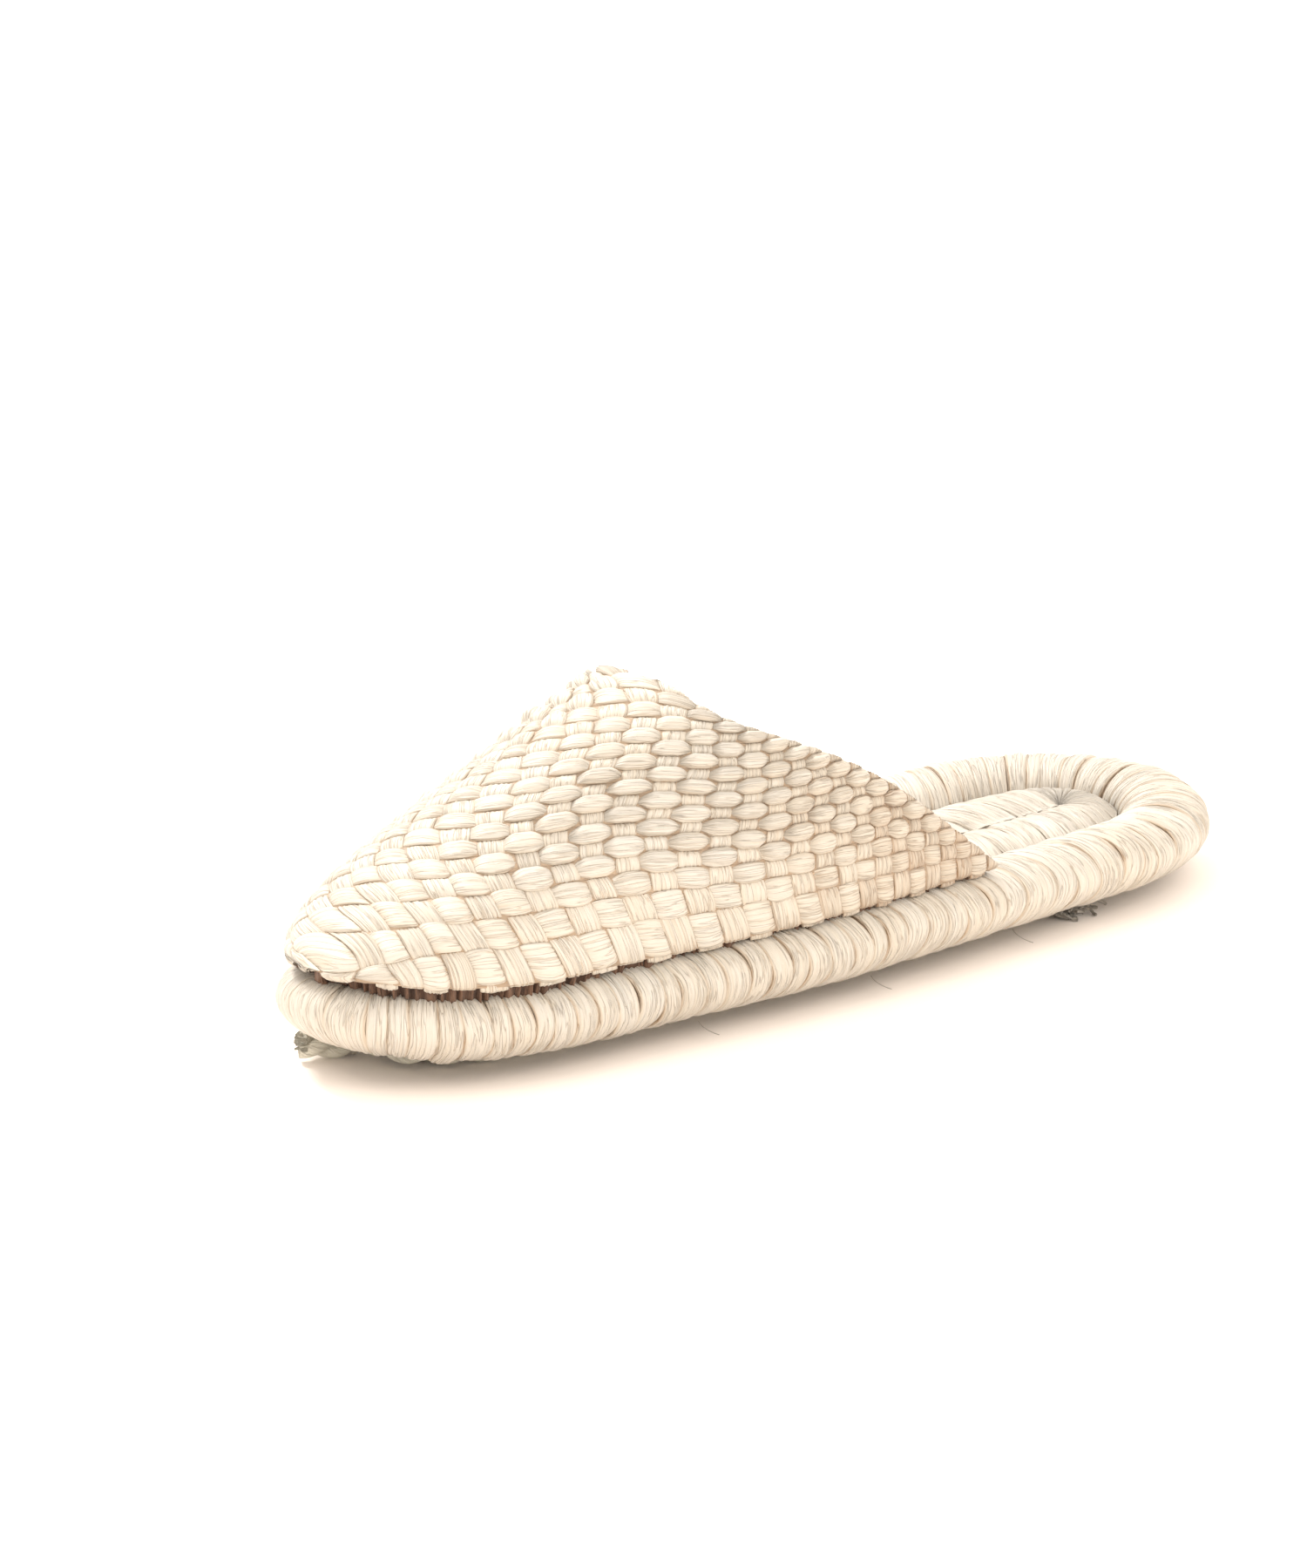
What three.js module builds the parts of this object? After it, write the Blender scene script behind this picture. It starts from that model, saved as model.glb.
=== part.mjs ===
// Corn husk slipper: a backless house slipper plaited and coiled from dried corn husk.
// Millimetres, +X toward the toe, +Y to the wearer's left, +Z up, origin on the floor
// under the middle of the slipper. The shape is the same left and right.
import * as THREE from "three";

// Overall sizes of the sole
const LENGTH = 262;
const BALL_WIDTH = 85;
const HEEL_WIDTH = 80;
const TOE_WIDTH = 70;
const HEEL_ROUND = 47;
const TOE_ROUND = 52;
const TOE_SPRING = 4.8;
const HEEL_SPRING = 0.3;

// Rope mat under the sole
const ROPE_DIAMETER = 6.6;
const MAT_RUNS = 5;
const MAT_INSET = 19.9;
const MAT_GROOVE = 1.1;

// Wrapped roll around the sole, and the wrapped coil that fills it
const ROLL_WIDTH = 21;
const ROLL_HEIGHT = 15.6;
const ROLL_SINK = 2.1;
const WRAP_PITCH = 9.8;
const WRAP_STEP = 0.5;
const COIL_DIP = 3;
const COIL_GROOVE = 3.6;

// Plaited upper
const UPPER_INSET = 5.5;
const UPPER_TOE_INSET = 3;
const UPPER_LIFT = 1.5;
const SEAT_WIDTH = 3.2;
const THROAT_STATION = 33;
const THROAT_HEIGHT = 72.5;
const COLLAR_STATION = -42;
const COLLAR_CURVE = 6.3;
const WALL = 1.5;
const RIDGE_POWER = 0.67;
const FLANK_FULLNESS = 0.88;

// Plait: both families are numbered from the toe, so the ridge is where the numbers match
const TOE_STRIP = 3;
const THROAT_STRIP = 17;
const OVER_LONG = 1.3;
const OVER_CROSS = 0.9;
const STRIP_EDGE = 0.55;
const RIDGE_SOFTNESS = 5;

// Loose end of the mat's rope: it points out from under the toe, forward and to the right
const ROPE_TIP_BACK = 11.6;
const ROPE_TIP_SIDE = 14.6;
const ROPE_TURN = 20;
const LOOSE_DIAMETER = 6;
const ROPE_END_LENGTH = 9.2;
const BINDING_LENGTH = 3.5;
const TIP_LIFT = 1;

const CLEARANCE = 0.3;
const FLOOR_GAP = 0.05;
const HALF_STATIONS = 60;
const ROLL_SIDES = 10;

// Where the strips of one family reach the sole, as a share of the upper's edge from its toe
// tip to its rear corner.
const EDGE_STRIPS = [
  { strip: 0, share: 0 },
  { strip: 3, share: 0 },
  { strip: 6, share: 0.008 },
  { strip: 8, share: 0.044 },
  { strip: 11, share: 0.174 },
  { strip: 17, share: 0.43 },
  { strip: 23, share: 0.68 },
  { strip: 28, share: 0.83 },
  { strip: 34, share: 1 },
];

const halfLength = LENGTH / 2;
const matTop = ROPE_DIAMETER;
const rollMiddle = matTop - ROLL_SINK + ROLL_HEIGHT / 2;
const rollTop = rollMiddle + ROLL_HEIGHT / 2;
const upperTip = halfLength - UPPER_TOE_INSET;
const throatRise = THROAT_HEIGHT - rollTop - UPPER_LIFT;

const clamp = THREE.MathUtils.clamp;
const smooth = THREE.MathUtils.smoothstep;
const mix = THREE.MathUtils.lerp;

// Value of a table at a position, on a straight line between its rows.
function readTable(rows, key, value, at) {
  let k = 0;
  while (k < rows.length - 2 && at > rows[k + 1][key]) k += 1;
  const low = rows[k];
  const high = rows[k + 1];
  const share = clamp((at - low[key]) / (high[key] - low[key]), 0, 1);
  return mix(low[value], high[value], share);
}

// Width that the sole would have at a station if its ends were not rounded.
function plainWidth(x) {
  const toHeel = smooth(-x, 0, halfLength - HEEL_ROUND / 2);
  const toToe = smooth(x, 0, halfLength - TOE_ROUND / 2);
  return BALL_WIDTH - (BALL_WIDTH - HEEL_WIDTH) * toHeel - (BALL_WIDTH - TOE_WIDTH) * toToe;
}

// Share of that width left by the round of an end.
function roundShare(x, tip, round) {
  const into = clamp((Math.abs(x) - (tip - round)) / round, 0, 1);
  return Math.sqrt(1 - into * into);
}

function halfWidth(x) {
  const round = x > 0 ? TOE_ROUND : HEEL_ROUND;
  return (plainWidth(x) / 2) * roundShare(x, halfLength, round);
}

// How far the sole curls off the floor at its ends.
function lift(x) {
  const toe = Math.max(0, x - halfLength * 0.62) / (halfLength * 0.38);
  const heel = Math.max(0, -x - halfLength * 0.78) / (halfLength * 0.22);
  return TOE_SPRING * toe * toe + HEEL_SPRING * heel * heel;
}

// Outline of the sole: evenly spaced points with their outward normals, from the heel's tip
// along the left side to the toe's tip and back along the right side.
function soleOutline() {
  const fine = 2000;
  const left = [];
  for (let k = 0; k <= fine; k += 1) {
    const x = -halfLength * Math.cos((Math.PI * k) / fine);
    left.push(new THREE.Vector2(x, halfWidth(x)));
  }
  const run = [0];
  for (let k = 1; k <= fine; k += 1) run.push(run[k - 1] + left[k].distanceTo(left[k - 1]));
  const even = [];
  let at = 0;
  for (let k = 0; k <= HALF_STATIONS; k += 1) {
    const wanted = (run[fine] * k) / HALF_STATIONS;
    while (at < fine - 1 && run[at + 1] < wanted) at += 1;
    const share = clamp((wanted - run[at]) / (run[at + 1] - run[at]), 0, 1);
    const point = left[at].clone().lerp(left[at + 1], share);
    const along = left[Math.min(at + 6, fine)].clone().sub(left[Math.max(at - 6, 0)]).normalize();
    const normal = new THREE.Vector2(-along.y, along.x);
    if (k === 0) normal.set(-1, 0);
    if (k === HALF_STATIONS) normal.set(1, 0);
    even.push({ point, normal });
  }
  const mirrored = even.slice(1, -1).reverse().map(({ point, normal }) => ({
    point: new THREE.Vector2(point.x, -point.y),
    normal: new THREE.Vector2(normal.x, -normal.y),
  }));
  return even.concat(mirrored);
}

const outline = soleOutline();
const perimeter = outline.reduce(
  (sum, here, k) => sum + here.point.distanceTo(outline[(k + 1) % outline.length].point),
  0,
);

// A point on the outline drawn in by a distance.
function drawnIn(station, inset) {
  return station.point.clone().addScaledVector(station.normal, -inset);
}

// Collects points and faces into one closed solid: equal points are joined, faces that a
// joined corner closes up are dropped, and the whole is turned to face outward.
class SolidBuilder {
  constructor() {
    this.points = [];
    this.faces = [];
    this.known = new Map();
  }

  point(x, y, z) {
    const key = [x, y, z].map((value) => Math.round(value * 1e4)).join(" ");
    if (!this.known.has(key)) {
      this.known.set(key, this.points.length);
      this.points.push(new THREE.Vector3(x, y, z));
    }
    return this.known.get(key);
  }

  triangle(a, b, c) {
    if (a !== b && b !== c && c !== a) this.faces.push([a, b, c]);
  }

  quad(a, b, c, d) {
    this.triangle(a, b, c);
    this.triangle(a, c, d);
  }

  // Joins rings of points one to the next, each ring closed.
  rings(list) {
    for (let r = 0; r + 1 < list.length; r += 1) {
      const count = list[r].length;
      for (let k = 0; k < count; k += 1) {
        const next = (k + 1) % count;
        this.quad(list[r][k], list[r][next], list[r + 1][next], list[r + 1][k]);
      }
    }
  }

  geometry() {
    const volume = this.faces.reduce((sum, [a, b, c]) => {
      const [pa, pb, pc] = [this.points[a], this.points[b], this.points[c]];
      return sum + pa.dot(pb.clone().cross(pc));
    }, 0);
    const turned = volume < 0 ? this.faces.map(([a, b, c]) => [a, c, b]) : this.faces;
    const made = new THREE.BufferGeometry();
    made.setFromPoints(this.points);
    made.setIndex(turned.flat());
    made.computeVertexNormals();
    return made;
  }
}

// A flat bed inside the outline. Each ring has a share from the edge (0) to the middle line
// (1) and a height, and the rings run from the middle of the underside out and over the top.
function bed(edgeInset, middleEnd, rings) {
  const solid = new SolidBuilder();
  const stations = outline.filter((station, k) => k % 2 === 0);
  solid.rings(rings.map(({ share, height }) => stations.map((station) => {
    const edge = drawnIn(station, edgeInset);
    const middle = clamp(edge.x, -middleEnd, middleEnd);
    const x = mix(edge.x, middle, share);
    const y = mix(edge.y, 0, share);
    return solid.point(x, y, height + lift(x));
  })));
  return solid.geometry();
}

// Rope mat: runs of rope laid side by side, each flat where it is worn against the floor.
function ropeMat() {
  const rings = [{ share: 1, height: 0 }];
  for (let run = MAT_RUNS - 1; run >= 0; run -= 1) {
    rings.push({ share: (run + 0.28) / MAT_RUNS, height: 0 });
    if (run > 0) {
      rings.push({ share: run / MAT_RUNS, height: MAT_GROOVE });
      rings.push({ share: (run - 0.28) / MAT_RUNS, height: 0 });
    }
  }
  rings.push({ share: 0, height: ROPE_DIAMETER * 0.3 });
  rings.push({ share: 0, height: ROPE_DIAMETER * 0.7 });
  rings.push({ share: 0.28 / MAT_RUNS, height: matTop - CLEARANCE });
  rings.push({ share: 1, height: matTop - CLEARANCE });
  return bed(MAT_INSET, halfLength * 0.66, rings);
}

// Wrapped coil of the footbed: two runs side by side, a hairpin closed round at both ends.
function footbedCoil() {
  const top = rollTop - COIL_DIP;
  const rise = COIL_GROOVE;
  return bed(ROLL_WIDTH + CLEARANCE, halfLength * 0.74, [
    { share: 1, height: matTop },
    { share: 0.12, height: matTop },
    { share: 0, height: rollMiddle - ROLL_HEIGHT * 0.2 },
    { share: 0, height: rollMiddle },
    { share: 0.1, height: top - rise * 0.5 },
    { share: 0.28, height: top - rise * 0.12 },
    { share: 0.5, height: top },
    { share: 0.74, height: top - rise * 0.14 },
    { share: 0.92, height: top - rise * 0.55 },
    { share: 1, height: top - rise },
  ]);
}

// Wrapped roll around the sole. Every second station is drawn in a little, so each wrap of
// husk stands up between two grooves, and the pitch of the wraps is as near as fits.
function rimRoll() {
  const solid = new SolidBuilder();
  const count = 4 * Math.round(perimeter / WRAP_PITCH / 2);
  const rings = [];
  for (let k = 0; k < count; k += 1) {
    const at = (outline.length * k) / count;
    const low = outline[Math.floor(at) % outline.length];
    const high = outline[Math.ceil(at) % outline.length];
    const share = at - Math.floor(at);
    const point = low.point.clone().lerp(high.point, share);
    const normal = low.normal.clone().lerp(high.normal, share).normalize();
    const draw = k % 2 === 0 ? 0 : WRAP_STEP;
    const ring = [];
    for (let side = 0; side < ROLL_SIDES; side += 1) {
      const angle = (2 * Math.PI * side) / ROLL_SIDES;
      const inset = ROLL_WIDTH / 2 - (ROLL_WIDTH / 2 - draw) * Math.cos(angle);
      const place = point.clone().addScaledVector(normal, -inset);
      const up = (ROLL_HEIGHT / 2 - draw) * Math.sin(angle);
      ring.push(solid.point(place.x, place.y, rollMiddle + up + lift(place.x)));
    }
    rings.push(ring);
  }
  solid.rings([...rings, rings[0]]);
  return solid.geometry();
}

// Half width of the upper's lower edge at a station.
function upperHalfWidth(x) {
  const inset = mix(UPPER_INSET, UPPER_TOE_INSET, smooth(x, THROAT_STATION, upperTip));
  const round = TOE_ROUND - UPPER_TOE_INSET;
  return (plainWidth(x) / 2 - inset) * roundShare(Math.max(x, 0), upperTip, round);
}

// Height of the upper's ridge over its lower edge; behind the throat it is where the ridge
// would run on, and only gives the sides their slope.
function ridgeRise(x) {
  return throatRise * ((upperTip - x) / (upperTip - THROAT_STATION)) ** RIDGE_POWER;
}

function lowerEdgeHeight(x) {
  return rollTop + UPPER_LIFT + lift(x);
}

// A point of the upper's surface: its station, and how far round it is from the sole (0) to
// the ridge (1).
function onArch(x, round) {
  const angle = (clamp(round, 0, 1) * Math.PI) / 2;
  const y = upperHalfWidth(x) * Math.cos(angle) ** FLANK_FULLNESS;
  const z = lowerEdgeHeight(x) + ridgeRise(x) * Math.sin(angle) ** FLANK_FULLNESS;
  return new THREE.Vector3(x, y, z);
}

// Station and round of the collar's edge, at a share from the rear corner to the throat.
function onCollar(share) {
  const x = mix(COLLAR_STATION, THROAT_STATION, share);
  const up = throatRise * share + COLLAR_CURVE * Math.sin(Math.PI * share) ** 1.5;
  const level = clamp(up / ridgeRise(x), 0, 1) ** (1 / FLANK_FULLNESS);
  return { x, round: Math.asin(level) / (Math.PI / 2) };
}

// The strips near the sole are wider than those above.
function rowPlace(strip) {
  return strip + 0.35 * Math.min(strip, 3);
}

// Station and round of a crossing on the left half, where the strip that runs along the shoe
// has number `long` and the strip that runs across it has number `cross`.
function leftPlace(long, cross) {
  const first = Math.max(0, 2 * TOE_STRIP - cross);
  const behindThroat = cross > THROAT_STRIP;
  const last = behindThroat ? 2 * THROAT_STRIP - cross : cross;
  const edgeShare = readTable(EDGE_STRIPS, "strip", "share", cross);
  const edge = mix(upperTip, COLLAR_STATION, edgeShare);
  const ridgeShare = clamp((cross - TOE_STRIP) / (THROAT_STRIP - TOE_STRIP), 0, 1);
  let top = { x: mix(upperTip, THROAT_STATION, ridgeShare), round: 1 };
  if (behindThroat) top = onCollar(last / THROAT_STRIP);
  if (last <= first) return { x: edge, round: 0 };
  const share = (rowPlace(long) - rowPlace(first)) / (rowPlace(last) - rowPlace(first));
  return { x: mix(edge, top.x, share), round: top.round * share };
}

// Near the ridge the strips bend, so that both families cross it at an even slope.
function leftCrossing(long, cross) {
  const apart = cross - long;
  const total = cross + long;
  const ease = apart + RIDGE_SOFTNESS * (1 - apart / total);
  const eased = ease > 0 ? (apart * apart) / ease : 0;
  const place = leftPlace((total - eased) / 2, (total + eased) / 2);
  return onArch(place.x, leftPlace(long, cross).round);
}

function crossing(a, b) {
  if (a <= b) return leftCrossing(a, b);
  const mirrored = leftCrossing(b, a);
  return mirrored.setY(-mirrored.y);
}

// Plaited upper: one wall whose outside has a raised float at each crossing, one family
// over the other by turns. Its lower edge turns in to sit on the top of the roll.
function upper() {
  const low = 2 * TOE_STRIP;
  const high = 2 * THROAT_STRIP;
  const inside = (a, b) => a >= 0 && b >= 0 && a + b >= low && a + b <= high;
  const half = new SolidBuilder();
  const lattice = new Map();
  const key = (a, b) => a + "/" + b;

  for (let a = 0; a <= high; a += 0.5) {
    for (let b = 0; b <= high; b += 0.5) {
      if (inside(a, b)) {
        const place = crossing(a, b);
        lattice.set(key(a, b), half.point(place.x, place.y, place.z));
      }
    }
  }

  // Faces of the smooth surface: a fan round each crossing's middle, then whole squares.
  const fans = [];
  const squares = [];
  const around = [[0, 0], [0.5, 0], [1, 0], [1, 0.5], [1, 1], [0.5, 1], [0, 1], [0, 0.5]];
  const corners = [[0, 0], [1, 0], [1, 1], [0, 1]];
  for (let a = 0; a < high; a += 1) {
    for (let b = 0; b < high; b += 1) {
      for (let k = 0; k < around.length; k += 1) {
        const [p, q] = [around[k], around[(k + 1) % around.length]];
        const three = [[a + 0.5, b + 0.5], [a + p[0], b + p[1]], [a + q[0], b + q[1]]];
        if (three.every((at) => inside(...at))) fans.push(three);
      }
      const square = corners.map((at) => [a + at[0], b + at[1]]).filter((at) => inside(...at));
      if (square.length >= 3) squares.push(square);
    }
  }

  fans.forEach((three) => half.triangle(...three.map((at) => lattice.get(key(...at)))));
  const base = new THREE.BufferGeometry();
  base.setFromPoints(half.points);
  base.setIndex(half.faces.flat());
  base.computeVertexNormals();
  const outward = (index) => new THREE.Vector3().fromBufferAttribute(base.attributes.normal, index);
  const facing = outward(lattice.get(key(THROAT_STRIP - 1, THROAT_STRIP - 1))).z > 0 ? 1 : -1;

  const relief = (a, b) => {
    const middle = a % 1 !== 0 && b % 1 !== 0;
    if (!middle) return a % 1 === 0 && b % 1 === 0 ? 0 : STRIP_EDGE;
    const firstOver = (Math.floor(a) + Math.floor(b)) % 2 === 0;
    return firstOver === a <= b ? OVER_LONG : OVER_CROSS;
  };

  const solid = new SolidBuilder();
  const outer = ([a, b]) => {
    const index = lattice.get(key(a, b));
    const at = half.points[index].clone().addScaledVector(outward(index), facing * relief(a, b));
    return solid.point(at.x, at.y, at.z);
  };
  const inner = ([a, b]) => {
    const index = lattice.get(key(a, b));
    const normal = outward(index).multiplyScalar(facing);
    const at = half.points[index].clone();
    const onSole = a === 0 || b === 0 || a + b === low;
    if (!onSole) at.addScaledVector(normal, -WALL);
    if (onSole) {
      const flat = new THREE.Vector3(normal.x, normal.y, 0).normalize();
      at.addScaledVector(flat, -SEAT_WIDTH);
      at.z = rollTop + CLEARANCE + lift(at.x);
    }
    return solid.point(at.x, at.y, at.z);
  };

  fans.forEach((three) => solid.triangle(...three.map(outer)));
  squares.forEach((square) => {
    const back = square.map(inner).reverse();
    solid.triangle(back[0], back[1], back[2]);
    if (back.length === 4) solid.triangle(back[0], back[2], back[3]);
  });

  // The four edges: left and right along the sole, round the toe, and the collar.
  const edges = [];
  for (let k = low; k < high; k += 1) {
    edges.push([[0, k], [0, k + 1]], [[k + 1, 0], [k, 0]]);
  }
  for (let k = 0; k < low; k += 1) edges.push([[low - k, k], [low - k - 1, k + 1]]);
  for (let k = 0; k < high; k += 1) edges.push([[k, high - k], [k + 1, high - k - 1]]);
  edges.forEach(([to, from]) => {
    const middle = [(from[0] + to[0]) / 2, (from[1] + to[1]) / 2];
    solid.triangle(outer(middle), outer(from), inner(from));
    solid.triangle(outer(middle), inner(from), inner(to));
    solid.triangle(outer(middle), inner(to), outer(to));
  });
  return solid.geometry();
}

// Line of the loose rope end, at a distance back from its cut tip.
const ropeTurn = THREE.MathUtils.degToRad(ROPE_TURN);

function ropeLine(back) {
  const x = halfLength - ROPE_TIP_BACK - back * Math.cos(ropeTurn);
  const y = -ROPE_TIP_SIDE + back * Math.sin(ropeTurn);
  const rise = TIP_LIFT * (1 - Math.min(back / ROPE_END_LENGTH, 1)) ** 2;
  return new THREE.Vector3(x, y, LOOSE_DIAMETER / 2 + FLOOR_GAP + rise);
}

// A ring of points square to the rope's line.
function ropeRing(solid, back, sides, radiusAt) {
  const centre = ropeLine(back);
  const ring = [];
  for (let side = 0; side < sides; side += 1) {
    const angle = (2 * Math.PI * side) / sides;
    const radius = radiusAt(angle);
    const out = radius * Math.cos(angle);
    const x = centre.x + out * Math.sin(ropeTurn);
    const y = centre.y + out * Math.cos(ropeTurn);
    ring.push(solid.point(x, y, centre.z + radius * Math.sin(angle)));
  }
  return ring;
}

// Rope twisted from two strands: two lobes that turn along its length.
function ropeEnd() {
  const solid = new SolidBuilder();
  const steps = 9;
  const rings = [];
  for (let step = 0; step <= steps; step += 1) {
    const twist = (step * Math.PI) / 7;
    const lobes = (angle) => 0.84 + 0.16 * Math.cos(2 * (angle - twist));
    const radiusAt = (angle) => (LOOSE_DIAMETER / 2) * lobes(angle);
    rings.push(ropeRing(solid, (ROPE_END_LENGTH * step) / steps, 10, radiusAt));
  }
  solid.rings(rings);
  capEnds(solid, rings);
  return solid.geometry();
}

// Closes the first and last ring of a tube with flat fans.
function capEnds(solid, rings) {
  const first = rings[0];
  const last = rings[rings.length - 1];
  for (let k = 1; k + 1 < first.length; k += 1) {
    solid.triangle(first[0], first[k + 1], first[k]);
    solid.triangle(last[0], last[k], last[k + 1]);
  }
}

// Husk binding round the rope where it leaves the mat, two turns side by side.
function ropeBinding() {
  const solid = new SolidBuilder();
  const profile = [
    { along: 0, swell: 0.8 },
    { along: 0.1, swell: 0.97 },
    { along: 0.4, swell: 0.97 },
    { along: 0.5, swell: 0.84 },
    { along: 0.6, swell: 0.97 },
    { along: 0.9, swell: 0.97 },
    { along: 1, swell: 0.8 },
  ];
  const start = ROPE_END_LENGTH + CLEARANCE;
  const rings = profile.map(({ along, swell }) => (
    ropeRing(solid, start + along * BINDING_LENGTH, 10, () => (LOOSE_DIAMETER / 2) * swell)
  ));
  solid.rings(rings);
  capEnds(solid, rings);
  return solid.geometry();
}

const husk = new THREE.MeshStandardMaterial({ color: 0xf0e0c2, roughness: 0.55, metalness: 0 });
const innerHusk = new THREE.MeshStandardMaterial({ color: 0xecd9b6, roughness: 0.6, metalness: 0 });
const rush = new THREE.MeshStandardMaterial({ color: 0xb7b293, roughness: 0.8, metalness: 0 });

const slipper = new THREE.Group();

function addPiece(name, geometry, material) {
  const mesh = new THREE.Mesh(geometry, material);
  mesh.name = name;
  slipper.add(mesh);
}

addPiece("outsole_rope_mat", ropeMat(), rush);
addPiece("rim_roll", rimRoll(), husk);
addPiece("footbed_coil", footbedCoil(), innerHusk);
addPiece("upper", upper(), husk);
addPiece("rope_end", ropeEnd(), rush);
addPiece("rope_binding", ropeBinding(), husk);

export default slipper;
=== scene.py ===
"""Corn husk slipper: plaited upper, wrapped roll and coil, rope mat, loose rope end."""
import math

import bpy
import numpy as np
from mathutils import Matrix, Vector


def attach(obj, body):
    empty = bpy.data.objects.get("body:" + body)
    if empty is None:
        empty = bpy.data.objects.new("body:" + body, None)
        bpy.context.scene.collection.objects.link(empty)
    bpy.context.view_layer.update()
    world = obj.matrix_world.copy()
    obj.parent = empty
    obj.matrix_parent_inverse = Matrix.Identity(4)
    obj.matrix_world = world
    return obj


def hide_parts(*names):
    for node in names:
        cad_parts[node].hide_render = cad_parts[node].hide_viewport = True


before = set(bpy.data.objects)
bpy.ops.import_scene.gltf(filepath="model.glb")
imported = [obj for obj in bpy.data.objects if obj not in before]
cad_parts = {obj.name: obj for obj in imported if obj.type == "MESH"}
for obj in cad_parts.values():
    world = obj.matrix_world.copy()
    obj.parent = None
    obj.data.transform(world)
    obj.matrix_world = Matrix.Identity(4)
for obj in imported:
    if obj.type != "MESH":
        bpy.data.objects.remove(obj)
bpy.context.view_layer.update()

# Sizes in millimetres, the same as the model's own
LENGTH = 262.0
BALL_WIDTH = 85.0
HEEL_WIDTH = 80.0
TOE_WIDTH = 70.0
HEEL_ROUND = 47.0
TOE_ROUND = 52.0
TOE_SPRING = 4.8
TOE_SPRING_FROM, TOE_SPRING_SPAN = 0.62, 0.38
HEEL_SPRING = 0.3
HEEL_SPRING_FROM, HEEL_SPRING_SPAN = 0.78, 0.22
ROPE_DIAMETER = 6.6
MAT_RUNS = 5
MAT_INSET = 19.9
ROLL_WIDTH = 21.0
ROLL_HEIGHT = 15.6
ROLL_SINK = 2.1
COIL_DIP = 3.0
COIL_GROOVE = 3.6
UPPER_INSET = 5.5
UPPER_TOE_INSET = 3.0
UPPER_LIFT = 1.5
THROAT_STATION = 33.0
THROAT_HEIGHT = 72.5
COLLAR_STATION = -42.0
COLLAR_CURVE = 6.3
RIDGE_POWER = 0.67
FLANK_FULLNESS = 0.88
TOE_STRIP = 3
THROAT_STRIP = 17
CLEARANCE = 0.3
MM_PER_M = 1000

FIRST_SUM = 2 * TOE_STRIP
LAST_SUM = 2 * THROAT_STRIP
HALF = LENGTH / 2
MAT_TOP = ROPE_DIAMETER
ROLL_MIDDLE = MAT_TOP - ROLL_SINK + ROLL_HEIGHT / 2
ROLL_TOP = ROLL_MIDDLE + ROLL_HEIGHT / 2
COIL_END = HALF * 0.74
MAT_END = HALF * 0.66
UPPER_TIP = HALF - UPPER_TOE_INSET
THROAT_RISE = THROAT_HEIGHT - ROLL_TOP - UPPER_LIFT

# Where the strips reach the sole: strip number, share of the edge from toe tip to rear corner
EDGE_STRIP = [0, 3, 4, 5, 6, 7, 8, 9, 10, 11, 17, 23, 28, 34]
EDGE_SHARE = [0, 0, 0.003, 0.013, 0.029, 0.049, 0.073, 0.101, 0.134, 0.174, 0.43, 0.68, 0.83, 1]

rng = np.random.RandomState(11)


def mix(a, b, share):
    return a + (b - a) * share


def smooth(value, low, high):
    t = np.clip((value - low) / (high - low), 0, 1)
    return t * t * (3 - 2 * t)


# Camera, lights and floor
CAMERA_TURN = math.radians(46.5)
CAMERA_RISE = math.radians(18.0)
CAMERA_DISTANCE = 2.0
PIXELS_PER_MM = 5.17
ORIGIN_X, ORIGIN_Y = 862.0, 1101.0
IMAGE_W, IMAGE_H = 1500.0, 1800.0
SENSOR = 24.0
KEY_SIZE, KEY_POWER, KEY_COLOR = 0.55, 32.0, (1.0, 0.985, 0.96)
FILL_SIZE, FILL_POWER, FILL_COLOR = 1.4, 12.0, (1.0, 0.96, 0.90)
WORLD_COLOR, WORLD_STRENGTH = (1.0, 0.945, 0.89, 1), 1.5
FLOOR_COLOR = (0.96, 0.895, 0.835, 1)
FLOOR_REACH = 4.0


def add_camera():
    back = Vector((
        math.cos(CAMERA_RISE) * math.cos(CAMERA_TURN),
        math.cos(CAMERA_RISE) * math.sin(CAMERA_TURN),
        math.sin(CAMERA_RISE),
    ))
    right = Vector((-math.sin(CAMERA_TURN), math.cos(CAMERA_TURN), 0))
    up = back.cross(right)
    data = bpy.data.cameras.new("camera")
    data.sensor_fit = "VERTICAL"
    data.sensor_height = SENSOR
    data.lens = PIXELS_PER_MM * CAMERA_DISTANCE * MM_PER_M * SENSOR / IMAGE_H
    data.clip_start = 0.1
    camera = bpy.data.objects.new("camera", data)
    bpy.context.collection.objects.link(camera)
    place = back * CAMERA_DISTANCE
    aim = up * (ORIGIN_Y - IMAGE_H / 2) - right * (ORIGIN_X - IMAGE_W / 2)
    toward = (place - aim / (PIXELS_PER_MM * MM_PER_M)).normalized()
    side = up.cross(toward).normalized()
    turn = Matrix((side, toward.cross(side), toward)).transposed().to_4x4()
    camera.matrix_world = Matrix.Translation(place) @ turn
    bpy.context.scene.camera = camera
    return back, right


def add_light(name, place, size, power, color):
    data = bpy.data.lights.new(name, "AREA")
    data.shape = "DISK"
    data.size = size
    data.energy = power
    data.color = color
    light = bpy.data.objects.new(name, data)
    bpy.context.collection.objects.link(light)
    light.location = place
    light.rotation_euler = (-place).to_track_quat("-Z", "Y").to_euler()


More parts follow.
